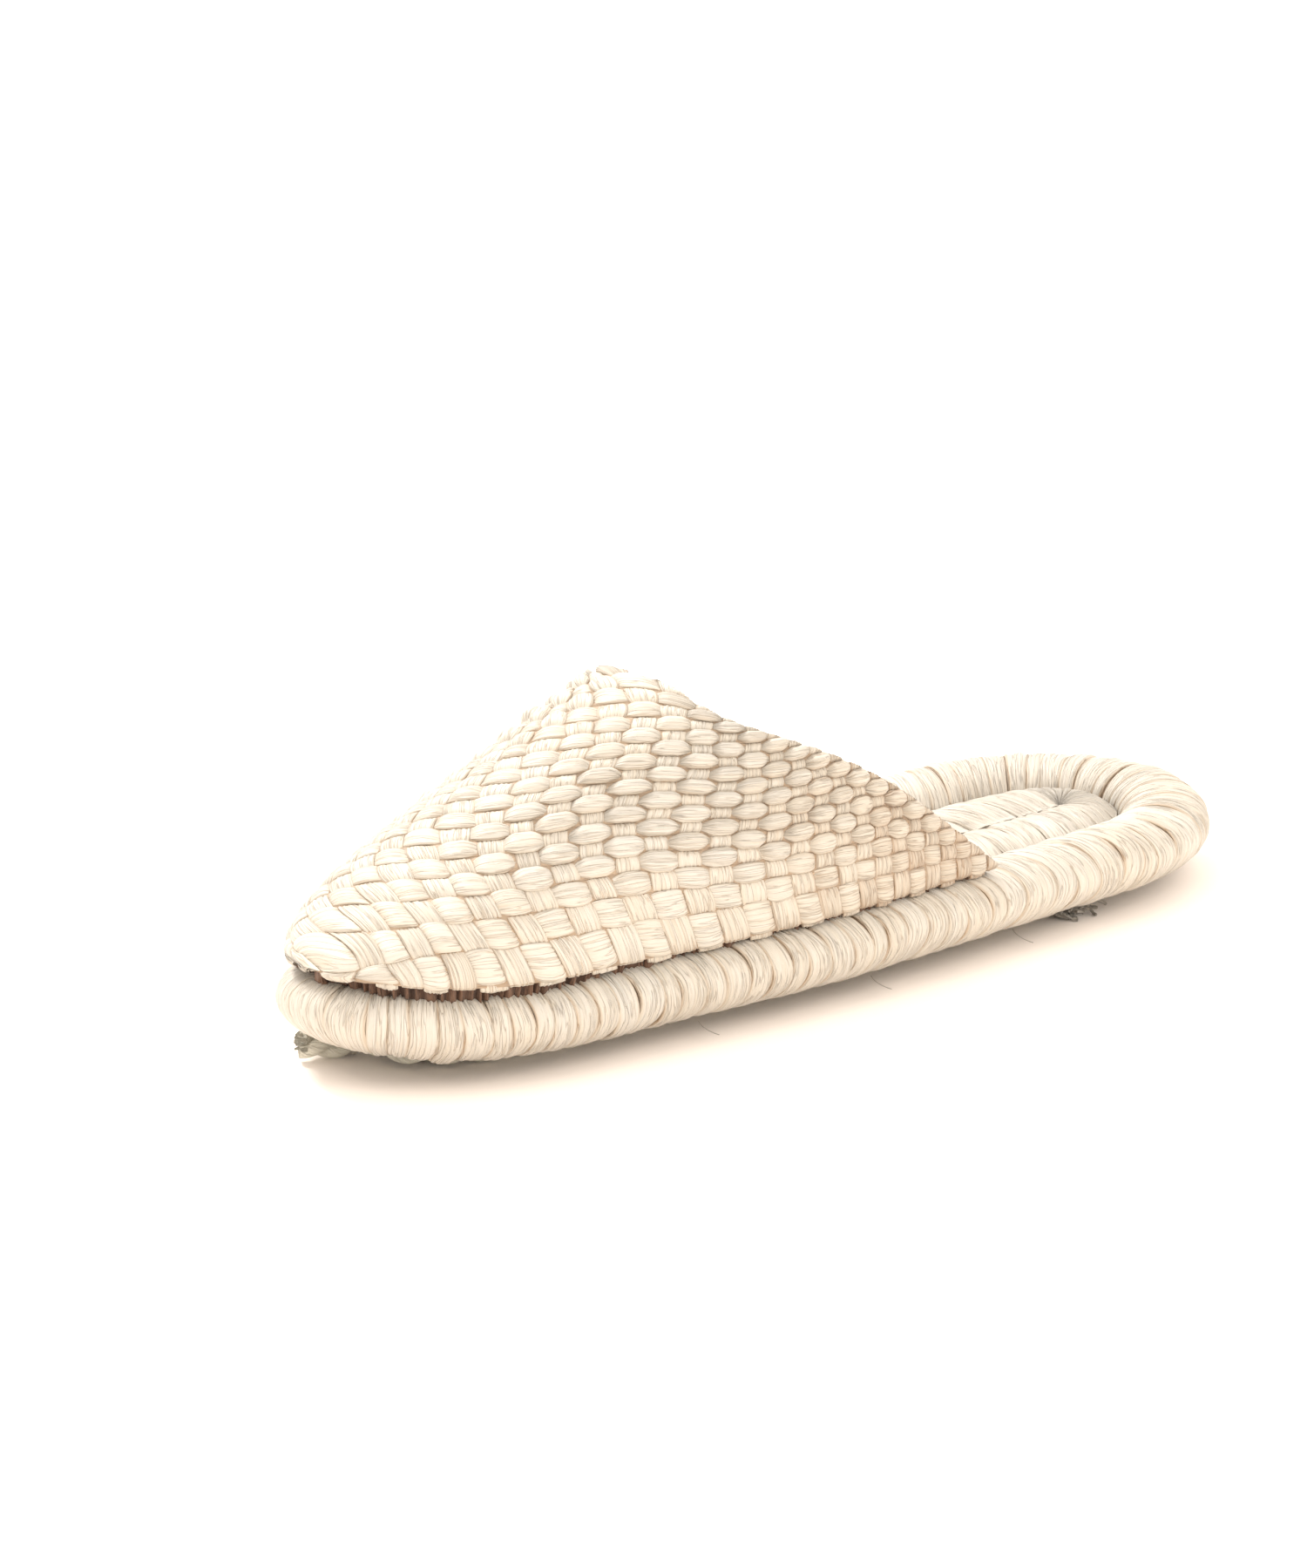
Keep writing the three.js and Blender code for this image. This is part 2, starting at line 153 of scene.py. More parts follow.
def add_stage(back, right):
    level = Vector((back.x, back.y, 0)).normalized()
    above = Vector((0, 0, 1))
    key = right * -0.75 - level * 0.75 + above * 1.35
    add_light("key", key, KEY_SIZE, KEY_POWER, KEY_COLOR)
    fill = right * 0.9 + level * 1.1 + above * 0.9
    add_light("fill", fill, FILL_SIZE, FILL_POWER, FILL_COLOR)
    world = bpy.data.worlds.new("studio")
    world.use_nodes = True
    shade = world.node_tree.nodes["Background"]
    shade.inputs["Color"].default_value = WORLD_COLOR
    shade.inputs["Strength"].default_value = WORLD_STRENGTH
    bpy.context.scene.world = world
    bpy.context.scene.view_settings.view_transform = "Standard"
    bpy.context.scene.view_settings.look = "None"

    mesh = bpy.data.meshes.new("floor")
    quarters = ((-1, -1), (1, -1), (1, 1), (-1, 1))
    corners = [(FLOOR_REACH * i, FLOOR_REACH * j, 0) for i, j in quarters]
    mesh.from_pydata(corners, [], [(0, 1, 2, 3)])
    floor = bpy.data.objects.new("floor", mesh)
    bpy.context.collection.objects.link(floor)
    paper = bpy.data.materials.new("floor_paper")
    paper.use_nodes = True
    surface = paper.node_tree.nodes["Principled BSDF"]
    surface.inputs["Base Color"].default_value = FLOOR_COLOR
    surface.inputs["Roughness"].default_value = 0.9
    surface.inputs["Specular IOR Level"].default_value = 0.1
    mesh.materials.append(paper)


# Materials: fine lines run along each strip, and each float and wrap has a tone of its own; the
# same tone attribute also carries painted shade at edges, under crossings and in folds
FINE_LINES = 30.0
BROAD_LINES = 11.0
BLOTCHES = 38.0
CREASE_WIDTH = 0.022
FINE_SHARE, BROAD_SHARE, BLOTCH_SHARE, CREASE_SHADE_SHARE = 0.9, 0.5, 0.35, 0.34
TONE_LOW, TONE_HIGH = 0.72, 1.95


def husk_material(name, pale, warm, deep, roughness, line_depth):
    material = bpy.data.materials.new(name)
    material.use_nodes = True
    nodes = material.node_tree.nodes
    links = material.node_tree.links
    surface = nodes["Principled BSDF"]
    strip = nodes.new("ShaderNodeUVMap")
    strip.uv_map = "strip"

    def lines(across, along, detail):
        stretch = nodes.new("ShaderNodeMapping")
        stretch.inputs["Scale"].default_value = (across, along, 1)
        links.new(strip.outputs["UV"], stretch.inputs["Vector"])
        noise = nodes.new("ShaderNodeTexNoise")
        noise.inputs["Scale"].default_value = 1.0
        noise.inputs["Detail"].default_value = detail
        noise.inputs["Roughness"].default_value = 0.6
        links.new(stretch.outputs["Vector"], noise.inputs["Vector"])
        return noise.outputs["Fac"]

    def weighted(first, second, factor):
        made = nodes.new("ShaderNodeMath")
        made.operation = "MULTIPLY_ADD"
        links.new(second, made.inputs[0])
        made.inputs[1].default_value = factor
        links.new(first, made.inputs[2])
        return made.outputs["Value"]

    fine = lines(FINE_LINES, 0.8, 3.0)
    broad = lines(BROAD_LINES, 0.45, 2.0)
    place = nodes.new("ShaderNodeTexCoord")
    blotch = nodes.new("ShaderNodeTexNoise")
    blotch.inputs["Scale"].default_value = BLOTCHES
    blotch.inputs["Detail"].default_value = 3.0
    links.new(place.outputs["Object"], blotch.inputs["Vector"])
    tone = nodes.new("ShaderNodeAttribute")
    tone.attribute_name = "tone"

    def crease(noise, wide):
        """1 along the lines where the noise passes its middle value, 0 away from them."""
        away = nodes.new("ShaderNodeMath")
        away.operation = "SUBTRACT"
        links.new(noise, away.inputs[0])
        away.inputs[1].default_value = 0.5
        size = nodes.new("ShaderNodeMath")
        size.operation = "ABSOLUTE"
        links.new(away.outputs["Value"], size.inputs[0])
        near = nodes.new("ShaderNodeMapRange")
        near.inputs["From Max"].default_value = wide
        near.inputs["To Min"].default_value = 1.0
        near.inputs["To Max"].default_value = 0.0
        links.new(size.outputs["Value"], near.inputs["Value"])
        return near.outputs["Result"]

    # Darker along the crease lines: painted shade in the creases, which the bump below also cuts in
    # as grooves
    fold = crease(broad, CREASE_WIDTH)
    total = weighted(tone.outputs["Fac"], fine, FINE_SHARE)
    total = weighted(total, broad, BROAD_SHARE)
    total = weighted(total, blotch.outputs["Fac"], BLOTCH_SHARE)
    total = weighted(total, fold, CREASE_SHADE_SHARE)
    spread = nodes.new("ShaderNodeMapRange")
    spread.inputs["From Min"].default_value = TONE_LOW
    spread.inputs["From Max"].default_value = TONE_HIGH
    links.new(total, spread.inputs["Value"])
    ramp = nodes.new("ShaderNodeValToRGB")
    stops = ramp.color_ramp.elements
    stops[0].position = 0.0
    stops[0].color = (*pale, 1)
    stops[1].position = 1.0
    stops[1].color = (*deep, 1)
    middle = stops.new(0.45)
    middle.color = (*warm, 1)
    links.new(spread.outputs["Result"], ramp.inputs["Fac"])
    links.new(ramp.outputs["Color"], surface.inputs["Base Color"])

    height = weighted(fine, broad, 1.2)
    height = weighted(height, fold, -0.45)
    bump = nodes.new("ShaderNodeBump")
    bump.inputs["Strength"].default_value = line_depth
    bump.inputs["Distance"].default_value = 0.0005
    links.new(height, bump.inputs["Height"])
    links.new(bump.outputs["Normal"], surface.inputs["Normal"])

    rough = nodes.new("ShaderNodeMapRange")
    rough.inputs["To Min"].default_value = roughness - 0.12
    rough.inputs["To Max"].default_value = roughness + 0.14
    links.new(broad, rough.inputs["Value"])
    links.new(rough.outputs["Result"], surface.inputs["Roughness"])
    surface.inputs["Specular IOR Level"].default_value = 0.42
    surface.inputs["Sheen Weight"].default_value = 0.1
    surface.inputs["Sheen Roughness"].default_value = 0.4
    return material


husk = husk_material("husk_strips", (0.59, 0.555, 0.50), (0.55, 0.485, 0.395),
                     (0.37, 0.24, 0.145), 0.46, 0.8)
wrap_husk = husk_material("husk_wraps", (0.575, 0.535, 0.475), (0.54, 0.475, 0.385),
                          (0.38, 0.255, 0.155), 0.44, 0.9)
# husk_tucked is near black: painted shade in the gap between the upper and the roll
tucked_shade_husk = husk_material("husk_tucked", (0.16, 0.085, 0.05), (0.075, 0.038, 0.022),
                          (0.035, 0.017, 0.010), 0.6, 0.9)
# husk_core is darker than the other husk: painted shade for the cores seen in the gaps between
# strips and between wraps
core_shade_husk = husk_material("husk_core", (0.46, 0.35, 0.25), (0.38, 0.27, 0.18),
                          (0.24, 0.155, 0.10), 0.7, 0.5)
# rush_rope is much paler than the rope's own colour: painted light on the rope end and mat, which
# lie in the roll's shadow
rush = husk_material("rush_rope", (0.98, 0.94, 0.80), (0.88, 0.83, 0.67),
                     (0.32, 0.27, 0.16), 0.6, 1.0)


# Mesh making
class Pile:
    """Gathers closed bands and tubes into one mesh, with strip coordinates and tones."""

    def __init__(self):
        self.points = []
        self.strips = []
        self.tones = []
        self.faces = []
        self.count = 0

    def rings(self, points, strips, tones, closed=False):
        """points is (rings, around, 3): each ring is closed, and so is the row of rings
        if closed is true. Otherwise both ends are shut with a flat fan of quads."""
        n, m = points.shape[:2]
        index = np.arange(n * m).reshape(n, m) + self.count
        here = index if closed else index[:-1]
        there = np.roll(index, -1, 0) if closed else index[1:]
        side = np.roll(here, -1, 1)
        far_side = np.roll(there, -1, 1)
        self.faces.append(np.stack([here, side, far_side, there], -1).reshape(-1, 4))
        if not closed:
            for ring, turned in ((index[0], True), (index[-1], False)):
                half = m // 2
                low = ring[:half]
                high = ring[::-1][:half]
                fan = np.stack([low[:-1], low[1:], high[1:], high[:-1]], -1)
                self.faces.append(fan if turned else fan[:, ::-1])
        self.points.append(points.reshape(-1, 3))
        self.strips.append(np.broadcast_to(strips, (n, m, 2)).reshape(-1, 2))
        self.tones.append(np.broadcast_to(tones, (n, m)).reshape(-1))
        self.count += n * m

    def piece(self, name, material, slot, *nodes):
        points = np.concatenate(self.points) / MM_PER_M
        faces = np.concatenate(self.faces).astype(np.int32)
        mesh = bpy.data.meshes.new(name)
        mesh.vertices.add(len(points))
        mesh.vertices.foreach_set("co", points.astype(np.float32).ravel())
        mesh.loops.add(faces.size)
        mesh.loops.foreach_set("vertex_index", faces.ravel())
        mesh.polygons.add(len(faces))
        mesh.polygons.foreach_set("loop_start", np.arange(0, faces.size, 4, dtype=np.int32))
        mesh.polygons.foreach_set("loop_total", np.full(len(faces), 4, np.int32))
        mesh.polygons.foreach_set("use_smooth", np.ones(len(faces), bool))
        strip = mesh.uv_layers.new(name="strip")
        strip.data.foreach_set("uv", np.concatenate(self.strips)[faces.ravel()].ravel())
        tone = mesh.attributes.new("tone", "FLOAT", "POINT")
        tone.data.foreach_set("value", np.concatenate(self.tones).astype(np.float32))
        mesh.materials.append(material)
        mesh.validate()
        mesh.update()
        made = bpy.data.objects.new(name, mesh)
        bpy.context.collection.objects.link(made)
        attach(made, "root")
        if nodes:
            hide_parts(*nodes)


# Outline of the sole
def plain_width(x):
    to_heel = smooth(-x, 0, HALF - HEEL_ROUND / 2)
    to_toe = smooth(x, 0, HALF - TOE_ROUND / 2)
    return BALL_WIDTH - (BALL_WIDTH - HEEL_WIDTH) * to_heel - (BALL_WIDTH - TOE_WIDTH) * to_toe


def round_share(x, tip, length):
    into = np.clip((np.abs(x) - (tip - length)) / length, 0, 1)
    return np.sqrt(1 - into * into)


def lift(x):
    toe = np.maximum(0, x - HALF * TOE_SPRING_FROM) / (HALF * TOE_SPRING_SPAN)
    heel = np.maximum(0, -x - HALF * HEEL_SPRING_FROM) / (HALF * HEEL_SPRING_SPAN)
    return TOE_SPRING * toe ** 2 + HEEL_SPRING * heel ** 2


class Outline:
    """The sole's edge by distance along it, from the heel's tip by the left side."""

    def __init__(self):
        turn = np.linspace(0, math.pi, 3001)
        x = -HALF * np.cos(turn)
        length = np.where(x > 0, TOE_ROUND, HEEL_ROUND)
        y = plain_width(x) / 2 * round_share(x, HALF, length)
        x = np.concatenate([x, x[-2::-1]])
        y = np.concatenate([y, -y[-2::-1]])
        self.run = np.concatenate([[0], np.cumsum(np.hypot(np.diff(x), np.diff(y)))])
        self.length = self.run[-1]
        self.x, self.y = x, y

    def at(self, s):
        s = np.mod(s, self.length)
        return np.interp(s, self.run, self.x), np.interp(s, self.run, self.y)

    def frame(self, s):
        x, y = self.at(s)
        ahead, behind = self.at(s + 1.5), self.at(s - 1.5)
        tx, ty = ahead[0] - behind[0], ahead[1] - behind[1]
        size = np.hypot(tx, ty)
        return x, y, -ty / size, tx / size


outline = Outline()


# Surface of the upper, by strip numbers
def row_place(strip):
    return strip + 0.35 * np.minimum(strip, 3)


def ridge_rise(x):
    return THROAT_RISE * ((UPPER_TIP - x) / (UPPER_TIP - THROAT_STATION)) ** RIDGE_POWER


def upper_half_width(x):
    inset = mix(UPPER_INSET, UPPER_TOE_INSET, smooth(x, THROAT_STATION, UPPER_TIP))
    end = round_share(np.maximum(x, 0), UPPER_TIP, TOE_ROUND - UPPER_TOE_INSET)
    return (plain_width(x) / 2 - inset) * end


def on_arch(x, share, side):
    angle = np.clip(share, 0, 1) * math.pi / 2
    y = upper_half_width(x) * np.cos(angle) ** FLANK_FULLNESS
    rise = ridge_rise(x) * np.sin(angle) ** FLANK_FULLNESS
    z = ROLL_TOP + UPPER_LIFT + lift(x) + rise
    return np.stack([x, y * side, z], -1)


def on_collar(share):
    x = mix(COLLAR_STATION, THROAT_STATION, share)
    bulge = np.clip(np.sin(math.pi * share), 0, 1) ** 1.5
    up = THROAT_RISE * share + COLLAR_CURVE * bulge
    level = np.clip(up / ridge_rise(x), 0, 1) ** (1 / FLANK_FULLNESS)
    return x, np.arcsin(level) / (math.pi / 2)


def edge_station(strip):
    share = sum(np.interp(strip + d, EDGE_STRIP, EDGE_SHARE) for d in (-0.7, 0, 0.7)) / 3
    return mix(UPPER_TIP, COLLAR_STATION, share)


def strip_share(low, high):
    first = np.maximum(0, FIRST_SUM - high)
    last = np.where(high > THROAT_STRIP, LAST_SUM - high, high)
    span = np.maximum(row_place(last) - row_place(first), 1e-6)
    return np.clip((row_place(low) - row_place(first)) / span, 0, 1), last


RIDGE_SOFTNESS = 5.0
RIDGE_SPREAD = 1.2


def first_place(a, b):
    """Station, and turn from the left edge (1) over the ridge (0) to the right edge (-1), of
    a place on the plait that has strip numbers a and b."""
    low, high = np.minimum(a, b), np.maximum(a, b)
    total, apart = a + b, high - low
    share, last = strip_share(low, high)
    _, collar_round = on_collar(last / THROAT_STRIP)
    top_round = np.where(high > THROAT_STRIP, collar_round, 1.0)
    soft = apart ** 2 / (apart + RIDGE_SOFTNESS * (1 - apart / np.maximum(total, 1e-9)) + 1e-9)
    low2, high2 = (total - soft) / 2, (total + soft) / 2
    share2, last2 = strip_share(low2, high2)
    ridge_share = np.clip((high2 - TOE_STRIP) / (THROAT_STRIP - TOE_STRIP), 0, 1) ** RIDGE_SPREAD
    ridge = mix(UPPER_TIP, THROAT_STATION, ridge_share)
    collar_x, _ = on_collar(last2 / THROAT_STRIP)
    top = np.where(high2 > THROAT_STRIP, collar_x, ridge)
    x = mix(edge_station(high2), top, share2)
    return x, (1 - top_round * share) * np.where(b >= a, 1.0, -1.0)


GRID_STEP = 0.25
EVENING_ROUNDS = 170
TOE_SKEW = 3.0
# Sums of strip numbers between which the skew fades out, from the toe to the collar
SKEW_FULL, SKEW_GONE = 12, 31


def evened_grid():
    """Station and turn on a grid of strip numbers, evened out between the plait's own edges
    so that the strips bend smoothly over the ridge and past the throat."""
    n = int(LAST_SUM / GRID_STEP) + 2
    a, b = np.meshgrid(np.arange(n) * GRID_STEP, np.arange(n) * GRID_STEP, indexing="ij")
    total = a + b
    between = (total > FIRST_SUM + 1e-6) & (total < LAST_SUM - 1e-6) & (a > 0) & (b > 0)
    fields = []
    for field in first_place(a, b):
        for _ in range(EVENING_ROUNDS):
            around = np.roll(field, 1, 0) + np.roll(field, -1, 0)
            around = around + np.roll(field, 1, 1) + np.roll(field, -1, 1)
            field = np.where(between, around / 4, field)
        beyond = np.abs(total - LAST_SUM - GRID_STEP) < 1e-6
        carried = np.roll(field, 1, 0) + np.roll(field, 1, 1) - np.roll(field, (1, 1), (0, 1))
        field = np.where(beyond, carried, field)
        before = np.abs(total - FIRST_SUM + GRID_STEP) < 1e-6
        carried = np.roll(field, -1, 0) + np.roll(field, -1, 1) - np.roll(field, (-1, -1), (0, 1))
        fields.append(np.where(before, carried, field))
    return fields


plait_grid = evened_grid()


def arch_place(a, b):
    """Station, share round the arch and side of a place on the plait. Toward the toe the
    plait is skewed: its middle line lies on the right of the shoe's."""
    total = np.maximum(a + b, 1e-9)
    middle = np.clip(4 * a * b / total ** 2, 0, 1)
    skew = TOE_SKEW * middle * (1 - smooth(total, SKEW_FULL, SKEW_GONE))
    i, j = (a + skew) / GRID_STEP, (b - skew) / GRID_STEP
    i0 = np.clip(np.floor(i).astype(int), 0, plait_grid[0].shape[0] - 2)
    j0 = np.clip(np.floor(j).astype(int), 0, plait_grid[0].shape[1] - 2)
    u, v = i - i0, j - j0

    def at_place(field):
        low = mix(field[i0, j0], field[i0 + 1, j0], u)
        high = mix(field[i0, j0 + 1], field[i0 + 1, j0 + 1], u)
        return mix(low, high, v)

    x, turn = (at_place(field) for field in plait_grid)
    return x, 1 - np.abs(turn), np.where(turn >= 0, 1.0, -1.0)


def arch_normal(x, share, side):
    dx, dr = 0.4, 0.01
    fore = np.minimum(x + dx, UPPER_TIP - 0.02)
    along = on_arch(fore, share, side) - on_arch(fore - 2 * dx, share, side)
    upper_share = np.minimum(share + dr, 0.999)
    around = on_arch(x, upper_share, side) - on_arch(x, upper_share - 2 * dr, side)
    normal = np.cross(around, along) * side[..., None]
    size = np.linalg.norm(normal, axis=-1, keepdims=True)
    return normal / np.maximum(size, 1e-9)


CURL_RADIUS = 0.9
CELL = 6.0
FOLD_DEPTH = 1.0
EDGE_RISE_REAR, EDGE_RISE_TOE = -0.7, 0.6


def plait_surface(a, b, height):
    """A point at a height over the plait's middle surface. Past the sole's edge and the toe
    it curls under, and past the collar it folds back inside."""
    under = np.maximum(0, -np.minimum(a, b))
    a, b = np.maximum(a, 0), np.maximum(b, 0)
    short = np.maximum(0, FIRST_SUM - a - b) / 2
    a, b = a + short, b + short
    past = np.maximum(0, a + b - LAST_SUM)
    a, b = np.maximum(a - past, 0), np.maximum(b - past, 0)
    x, share, side = arch_place(a, b)
    place = on_arch(x, share, side)
    normal = arch_normal(x, share, side)
    near_edge = 1 - smooth(np.minimum(np.minimum(a, b), a + b - FIRST_SUM), 0, 1.5)
    place[..., 2] += near_edge * mix(EDGE_RISE_REAR, EDGE_RISE_TOE, smooth(x, 30, 90))
    folded = smooth(past, 0, 0.5)
    height = mix(height, -height - FOLD_DEPTH, folded)
    curl = (under + short)[..., None] * CELL / CURL_RADIUS
    flat = normal * np.array([1, 1, 0])
    flat /= np.maximum(np.linalg.norm(flat, axis=-1, keepdims=True), 1e-9)
    down = np.array([0, 0, -1.0])
    radius = CURL_RADIUS + height[..., None]
    curled = place - flat * CURL_RADIUS + radius * (flat * np.cos(curl) + down * np.sin(curl))
    return np.where(curl > 0, curled, place + normal * height[..., None])


# Plaited upper: two families of strips, each a closed ribbon that passes over and under
STEPS_PER_CELL = 8
TOP_COLUMNS = 13
UNDER_COLUMNS = 3
STRIP_THICKNESS = 0.4
SHORTEST_STRIP = 0.4
# Cells by which a strip runs on, under the sole's edge and back inside at the collar
TUCKED_UNDER, FOLDED_BACK = 0.36, 0.85
float_width = 1 + 0.04 * rng.randn(LAST_SUM + 1, LAST_SUM + 1)
float_rise = 1 + 0.12 * rng.randn(LAST_SUM + 1, LAST_SUM + 1)
float_tone = rng.rand(LAST_SUM + 1, LAST_SUM + 1)


def puffed(low, high):
    """How round the floats are: flat at the toe and along the sole, full above."""
    return smooth(high, 7, 16) * smooth(low, 1.0, 4.5)


def strip_spans():
    """Number, middle, first and last place of every strip, without the stubs at the corners."""
    for strip in range(LAST_SUM):
        middle = strip + 0.5
        begin = max(0.0, FIRST_SUM - middle)
        end = LAST_SUM - middle
        if end - begin >= SHORTEST_STRIP:
            yield strip, middle, begin, end


def plait_family(name, crossing_family, *nodes):
    pile = Pile()
    across_top = np.linspace(-0.5, 0.5, TOP_COLUMNS)
    across_under = np.linspace(0.5, -0.5, UNDER_COLUMNS)
    across = np.concatenate([across_top, across_under])
    crown = 1 - np.abs(2 * across_top) ** 2.4
    for strip, middle, begin, end in strip_spans():
        start, stop = begin - TUCKED_UNDER, end + FOLDED_BACK
        count = int(round((stop - start) * STEPS_PER_CELL)) + 1
        along = np.linspace(start, stop, count)
        cell = np.clip(np.floor(along), 0, LAST_SUM).astype(int)
        long_side = 0.5 + 0.5 * np.tanh((along - middle) / 3.0)
        puff = puffed(np.minimum(along, middle), np.maximum(along, middle))
        leftward = middle - along if crossing_family else along - middle
        puff = puff * mix(0.5, 1.0, smooth(np.abs(leftward - 1.5), 0.5, 6))
        phase = np.cos(math.pi * (along - 0.5)) * (-1) ** strip * (-1 if crossing_family else 1)
        phase = np.clip(phase + mix(-0.36, 0.36, long_side) * puff, -1, 1)
        swing = np.sign(phase) * np.abs(phase) ** 0.6
        raised = np.clip(phase, 0, 1) ** 0.5
        oval = np.clip(phase, 0, 1) ** mix(0.4, 0.8, long_side * puff)

        narrow = mix(mix(0.90, 0.66, puff), mix(0.90, 0.52, puff), long_side)
        broad = mix(mix(0.97, 0.74, puff), mix(1.02, 1.24, puff), long_side)
        width = mix(narrow, broad, oval) * float_width[strip, cell]
        ends = smooth(along, start, start + 0.3) * smooth(-along, -stop, 0.3 - stop)
        width = width * mix(0.7, 1.0, ends)
        wobble = 0.05 * np.sin(along * 1.3 + strip * 2.1)
        reach = mix(mix(0.42, 0.36, puff), 0.5, long_side) * swing
        full = mix(mix(0.34, 0.40, puff), mix(0.5, 1.45, puff), long_side)
        dome = full * mix(0.14, 1.0, raised)
        dome = dome * np.where(raised > 0.5, float_rise[strip, cell], 1.0)

        groove = mix(0.17, mix(0.07, 0.12, puff), long_side)
        pleats = rng.uniform(-1, 1, TOP_COLUMNS) + np.where(np.arange(TOP_COLUMNS) % 2, 0.8, -0.8)
        change = 0.6 * np.sin(along[:, None] * 0.9 + rng.uniform(0, 6, TOP_COLUMNS))
        ripple = groove[:, None] * (pleats + change) * np.clip(crown * 1.6, 0, 1) / 1.8
        top = reach[:, None] + dome[:, None] * crown + ripple
        under = reach[:, None] - STRIP_THICKNESS - 0.12 * (1 - np.abs(2 * across_under))
        height = np.concatenate([top, under], 1)
        side = middle + wobble[:, None] + across * width[:, None]
        line = np.broadcast_to(along[:, None], side.shape)
        numbers = (line, side) if crossing_family else (side, line)
        points = plait_surface(*numbers, height)

        # Painted shade: darker at each float's edges, where the strip dips under the other family,
        # and toward the rear on the flank turned from the light; float_tone is each float's own
        # random tone
        painted_edge_shade = np.clip((np.abs(across) - 0.40) / 0.1, 0, 1)
        tone = 0.16 * float_tone[strip, cell] + 0.22 * (1 - raised) + 0.1 * (1 - long_side)
        tone = tone + 0.32 * smooth(np.maximum(along, middle), 18, 30)
        shade = tone[:, None] + mix(0.22, 0.36, puff)[:, None] * painted_edge_shade
        lines = np.broadcast_to(across * 0.5 + strip * 3.1, side.shape)
        strips = np.stack([lines, line * CELL / 10 + strip * 1.7], -1)
        if crossing_family:
            points, strips, shade = points[:, ::-1], strips[:, ::-1], shade[:, ::-1]
        pile.rings(points, strips, shade)
    pile.piece(name, husk, "husk", *nodes)


def plait_core():
    """A thin sheet midway between the two families: it is seen in their small gaps, where its
    darker colour is painted shade.
    """
    pile = Pile()
    across = np.array([-0.51, 0, 0.51, 0.51, 0, -0.51])
    level = np.array([0.03, 0.03, 0.03, -0.03, -0.03, -0.03])
    for _, middle, begin, end in strip_spans():
        along = np.linspace(begin, end - 0.1, int((end - begin) * 3) + 2)
        side = np.broadcast_to(middle + across, (len(along), 6))
        line = np.broadcast_to(along[:, None], side.shape)
        points = plait_surface(side, line, np.broadcast_to(level, side.shape))
        pile.rings(points, np.stack([side * 0.5, line], -1), 0.1)
    pile.piece("plait_core", core_shade_husk, "husk")


# Wrapped roll
TURN_STEPS = 36
WRAP_COLUMNS = 13
ROLL_WRAPS = [4.5, 5.5, 6.5, 8.0, 10.0]
ROLL_WRAP_ODDS = [0.2, 0.28, 0.26, 0.18, 0.08]
# Distances past the toe's tip between which the wraps are broad and smooth
SMOOTH_FROM, SMOOTH_TO = -8, 46.0
BUMP_AT = (114.0, 24.0)


def roll_point(s, angle, swell):
    x, y, nx, ny = outline.frame(s)
    inset = ROLL_WIDTH / 2 - (ROLL_WIDTH / 2 + swell) * np.cos(angle)
    z = ROLL_MIDDLE + (ROLL_HEIGHT / 2 + swell) * np.sin(angle)
    px, py = x - nx * inset, y - ny * inset
    return np.stack([px, py, z + lift(px)], -1)


